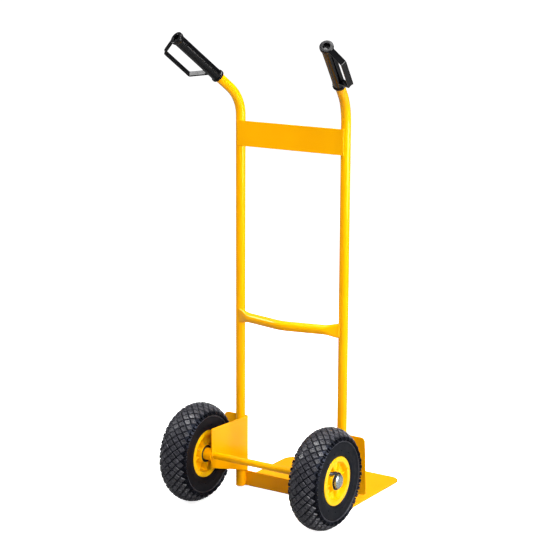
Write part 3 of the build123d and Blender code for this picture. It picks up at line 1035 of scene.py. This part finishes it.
def outboard_height(radius, turns):
    """How far the rim's outboard face stands out at one radius."""
    floor_height = 0.0204 - 0.008 * valve_share(turns)
    ribs = 0.0262 + 0.002 * ease(0.040, 0.026, radius)
    dish = floor_height + (ribs - floor_height) * rib_share(radius, turns, 0.0008, 0.0026)
    ring = 0.0335 + 0.0004 * ease(0.052, 0.058, radius)
    height = dish + (ring - dish) * ease(0.0462, 0.0496, radius)
    return height + (boss_face - height) * (1 - ease(0.0242, 0.0265, radius))


def inboard_height(radius, turns):
    """How far the rim's inboard face stands out at one radius, measured towards the truck."""
    floor_height = -0.0120 + 0.011 * valve_share(turns)
    ribs, ring = 0.0265, 0.0338
    dish = floor_height + (ribs - floor_height) * rib_share(radius, turns, 0.0011, 0.0012)
    height = dish + (ring - dish) * ease(0.0478, 0.0496, radius)
    return height + (boss_face - height) * (1 - ease(0.0242, 0.0256, radius))


def ring_at(height, radius):
    """One ring of the rim, with one height for all turns or a height for each."""
    heights = np.broadcast_to(height, round_turns.shape)
    return [Vector((h, radius * cos(t), radius * sin(t))) for h, t in zip(heights, round_turns)]


# Rings are close together where the face is steep: at the boss and at the face ring's edge.
face_bands = [
    (0.0206, 0.0240, 4),
    (0.0243, 0.0268, 8),
    (0.0276, 0.0456, 18),
    (0.0462, 0.0500, 10),
    (0.0508, 0.0606, 8),
]
face_radii = np.concatenate([np.linspace(*band) for band in face_bands])
round_turns = np.linspace(0, 2 * pi, rim_steps_round, endpoint=False)
barrel_half = [
    (0.0336, 0.0609, 0.0),
    (0.0330, 0.0620, 0.0006),
    (0.0312, 0.0620, 0.0006),
    (0.0310, 0.0506, 0.0008),
    (0.0210, 0.0505, 0.0010),
    (0.0170, 0.0450, 0.0010),
]
rim_barrel = rounded(barrel_half + [(-x, r, arc) for x, r, arc in barrel_half[::-1]], steps=4)
boss_edge = boss_face - 0.0008
for side in sides:
    rings = [ring_at(boss_edge, boss_inner_r)]
    for radius in face_radii:
        rings.append(ring_at(outboard_height(radius, round_turns), radius))
    for point in rim_barrel:
        rings.append(ring_at(point.x, point.y))
    for radius in face_radii[::-1]:
        rings.append(ring_at(-inboard_height(radius, round_turns), radius))
    rings.append(ring_at(-boss_edge, boss_inner_r))
    bm = bmesh.new()
    skin(bm, rings, loop=True)
    side.at_hub(bm)
    name, node = f"{side.name}_rim_moulding", f"{side.name}_wheel_rim"
    new_piece(name, bm, rim_nylon, side.wheel, "rim_plastic", node, sharp=50)

# ---- Valves ------------------------------------------------------------------------------------
# Each inner tube's rubber valve comes through the rim into its pocket and turns outboard, with a
# ribbed plastic dust cap screwed on. Black butyl rubber, satin, paler where it is handled.
butyl = finished(
    "black_butyl_rubber",
    ("#0B0B0C", "#17171A"),
    {"size": 0.006, "detail": 3.0},
    (0.36, 0.50),
    (0.003, 2.0),
    [(0.0012, 2.0, 0.00008)],
)

valve_path = [
    Vector((0.0150, -0.0345, 0.0290)),
    Vector((0.0235, -0.0318, 0.0272)),
    Vector((0.0285, -0.0272, 0.0258)),
    Vector((0.0312, -0.0216, 0.0252)),
    Vector((0.0325, -0.0160, 0.0250)),
    Vector((0.0333, -0.0085, 0.0250)),
]
stem_radii = (0.0052, 0.0052, 0.0051, 0.0046, 0.0030, 0.0028)
dust_cap_profile = [
    # distance along the cap, radius, knurl
    (0.0000, 0.0034, 0.0),
    (0.0004, 0.0036, 0.0002),
    (0.0072, 0.0034, 0.0002),
    (0.0076, 0.0030, 0.0),
    (0.0092, 0.0028, 0.0),
    (0.0096, 0.0022, 0.0),
]


def ring_round(centre, run, radius, count=24, knurl=0.0):
    """A circle of points round a line, with every other pair of points raised."""
    side_way = run.cross(up).normalized()
    top_way = side_way.cross(run).normalized()
    ring = []
    for at in range(count):
        turn = 2 * pi * at / count
        reach = radius + knurl * (1 if at % 4 < 2 else -1)
        ring.append(centre + (side_way * cos(turn) + top_way * sin(turn)) * reach)
    return ring


for side in sides:
    neck, tip = valve_path[-2:]
    bm = bmesh.new()
    rings = []
    for at, point in enumerate(valve_path):
        run = valve_path[min(at + 1, len(valve_path) - 1)] - valve_path[max(at - 1, 0)]
        rings.append(ring_round(point, run.normalized(), stem_radii[at]))
    skin(bm, rings)
    side.at_hub(bm)
    name, node = f"{side.name}_valve_rubber", f"{side.name}_valve_stem"
    new_piece(name, bm, butyl, side.wheel, "tube_rubber", node)
    bm = bmesh.new()
    rings = []
    run = (tip - neck).normalized()
    for along, radius, knurl in dust_cap_profile:
        rings.append(ring_round(neck + run * along, run, radius, 40, knurl))
    skin(bm, rings)
    side.at_hub(bm)
    name, node = f"{side.name}_valve_dust_cap", f"{side.name}_valve_cap"
    new_piece(name, bm, butyl, side.wheel, "tube_rubber", node)
    carried_over(f"{side.name}_inner_tube", butyl)

# ---- Bearings, seals and axle caps -------------------------------------------------------------
# Two sealed ball bearings in each wheel, ground steel with moulded rubber seals, kept apart by a
# steel sleeve. A washer and a pressed, zinc plated cap hold the wheel on the axle's end.
# Ground bearing steel: fine marks round the axle, really 0.05 mm apart and drawn at 0.6 mm.
bearing_steel, tree, shader, place = material_of("ground_bearing_steel")
marks = add_node(
    tree,
    "ShaderNodeTexWave",
    {"Scale": 1 / 0.0006 / 20, "Distortion": 2.0, "Detail": 2.0},
    {"Vector": place},
    bands_direction="X",
).outputs["Fac"]
tree.links.new(two_tones(tree, marks, "#B9BBBE", "#D2D3D6"), shader.inputs["Base Color"])
tree.links.new(spread(tree, marks, 0.24, 0.36, 0, 1), shader.inputs["Roughness"])
shader.inputs["Metallic"].default_value = 1.0

# Bright zinc plate on pressed steel: shiny with a slight haze and a cool tint.
zinc_plate = finished(
    "bright_zinc_plate",
    ("#A9B8BE", "#BFCBD0"),
    {"size": 0.004, "detail": 4.0},
    (0.22, 0.34),
    (0.002, 3.0),
    [(0.005, 2.0, 0.00006)],
    Metallic=1.0,
)

seal_profile = rounded(
    [
        (0.0294, 0.0125, 0.0002),
        (0.0308, 0.0128, 0.0004),
        (0.0306, 0.0158, 0.0004),
        (0.0318, 0.0172, 0.0006),
        (0.0330, 0.0196, 0.0006),
        (0.0330, 0.0226, 0.0006),
        (0.0321, 0.0228, 0.0004),
        (0.0320, 0.0206, 0.0002),
        (0.0294, 0.0199, 0.0002),
    ],
    closed=True,
    steps=3,
)
seal_outline = [(p.x, p.y) for p in seal_profile]
inner_seal_outline = [(0.0193, 0.0125), (0.0203, 0.0125), (0.0203, 0.0166), (0.0193, 0.0166)]
cap_profile = rounded(
    [
        (0.0332, 0.0086, 0),
        (0.0332, 0.0176, 0.0003),
        (0.0336, 0.0180, 0.0003),
        (0.0390, 0.0180, 0.0013),
        (0.0412, 0.0140, 0.0100),
        (0.0426, 0.0065, 0.0300),
        (0.0430, 0.00001, 0),
    ],
    steps=7,
)
cap_inside = [
    (0.0418, 0.00001),
    (0.0414, 0.0075),
    (0.0392, 0.0138),
    (0.0344, 0.0168),
    (0.0344, 0.0086),
]
cap_outline = [(p.x, p.y) for p in cap_profile] + cap_inside
for side in sides:
    for where, facing_out in (("outboard", 1), ("inboard", -1)):
        for part in ("inner_race", "outer_race", "bearing_balls"):
            carried_over(f"{side.name}_{where}_{part}", bearing_steel)
        bm = bmesh.new()
        for outline in (seal_outline, inner_seal_outline):
            turned(bm, [(facing_out * side.sign * a, r) for a, r in outline], side.hub)
        name, node = f"{side.name}_{where}_seal_rings", f"{side.name}_{where}_bearing_seals"
        new_piece(name, bm, butyl, side.wheel, "seal_rubber", node)
    carried_over(f"{side.name}_bearing_sleeve", bearing_steel)
    carried_over(f"{side.name}_axle_washer", zinc_plate)
    bm = bmesh.new()
    turned(bm, [(side.sign * a, r) for a, r in cap_outline], side.hub, count=96)
    name, node = f"{side.name}_axle_end_cap", f"{side.name}_axle_cap"
    new_piece(name, bm, zinc_plate, "frame", "zinc_steel", node)

# ---- Grips -------------------------------------------------------------------------------------
# Black grips moulded in PVC and pushed over the handles: a round body with a collar at its foot
# and an open disc at its end, and a knuckle guard in the form of a flat strap with raised rims.
# Plasticised PVC: black, glossy and faintly rippled, with finger marks in its shine.
grip_pvc = finished(
    "glossy_black_pvc",
    ("#030304", "#08080B"),
    {"size": 0.018, "detail": 4.0, "Distortion": 0.6},
    (0.10, 0.20),
    (0.012, 3.0),
    [(0.010, 2.0, 0.00016)],
    IOR=1.5,
    Specular_IOR_Level=0.28,
)

guard_roll = radians(53.0)
grip_profile = rounded(
    [
        (0.0000, 0.0126, 0),
        (0.0000, 0.0172, 0.0016),
        (0.0060, 0.0172, 0.0018),
        (0.0078, 0.0147, 0.0012),
        (0.0300, 0.0146, 0),
        (0.0900, 0.0144, 0),
        (0.1560, 0.0146, 0.004),
        (0.1620, 0.0170, 0.0015),
        (0.1690, 0.0170, 0.0016),
        (0.1690, 0.0090, 0.0010),
        (0.1612, 0.0080, 0.0006),
        (0.1606, 0.0004, 0),
        (0.1594, 0.0004, 0),
        (0.1585, 0.0126, 0),
    ],
    steps=6,
)
strap_section = rounded(
    [
        (-0.0020, -0.00785, 0.0008),
        (0.0020, -0.00785, 0.0008),
        (0.0020, -0.0054, 0.0003),
        (0.0012, -0.0050, 0.0003),
        (0.0012, 0.0050, 0.0003),
        (0.0020, 0.0054, 0.0003),
        (0.0020, 0.00785, 0.0008),
        (-0.0020, 0.00785, 0.0008),
    ],
    closed=True,
    steps=4,
)
strap_run = rounded(
    [(0.0120, 0.1662, 0), (0.053, 0.148, 0.0045), (0.053, 0.051, 0.0045), (0.0115, 0.0273, 0)],
    steps=6,
)
grip_steps, parting_rise, parting_from_r = 72, 0.00022, 0.0135
for side in sides:
    under = side.out * cos(bend_angle) - up * sin(bend_angle)
    beside = side.handle.cross(under) * side.sign
    guard_way = under * cos(guard_roll) + beside * sin(guard_roll)
    guard_normal = guard_way.cross(side.handle)
    bm = bmesh.new()
    rings = []
    for point in grip_profile:
        ring = []
        for at in range(grip_steps):
            turn = 2 * pi * at / grip_steps
            on_parting = at % (grip_steps // 2) == 0 and point.y > parting_from_r
            reach = point.y + (parting_rise if on_parting else 0.0)
            way = guard_way * cos(turn) + guard_normal * sin(turn)
            ring.append(side.grip_start + side.handle * point.x + way * reach)
        rings.append(ring)
    skin(bm, rings, loop=True)
    line = [side.grip_start + guard_way * p.x + side.handle * p.y for p in strap_run]
    rims_way = (line[1] - line[0]).cross(guard_normal)
    flip = 1 if rims_way.dot(side.handle) > 0 else -1
    skin(bm, swept(line, guard_normal, [(a * flip, b) for a, b in strap_section]))
    name, node = f"{side.name}_grip_moulding", f"{side.name}_grip"
    new_piece(name, bm, grip_pvc, "frame", "grip_plastic", node, sharp=40)
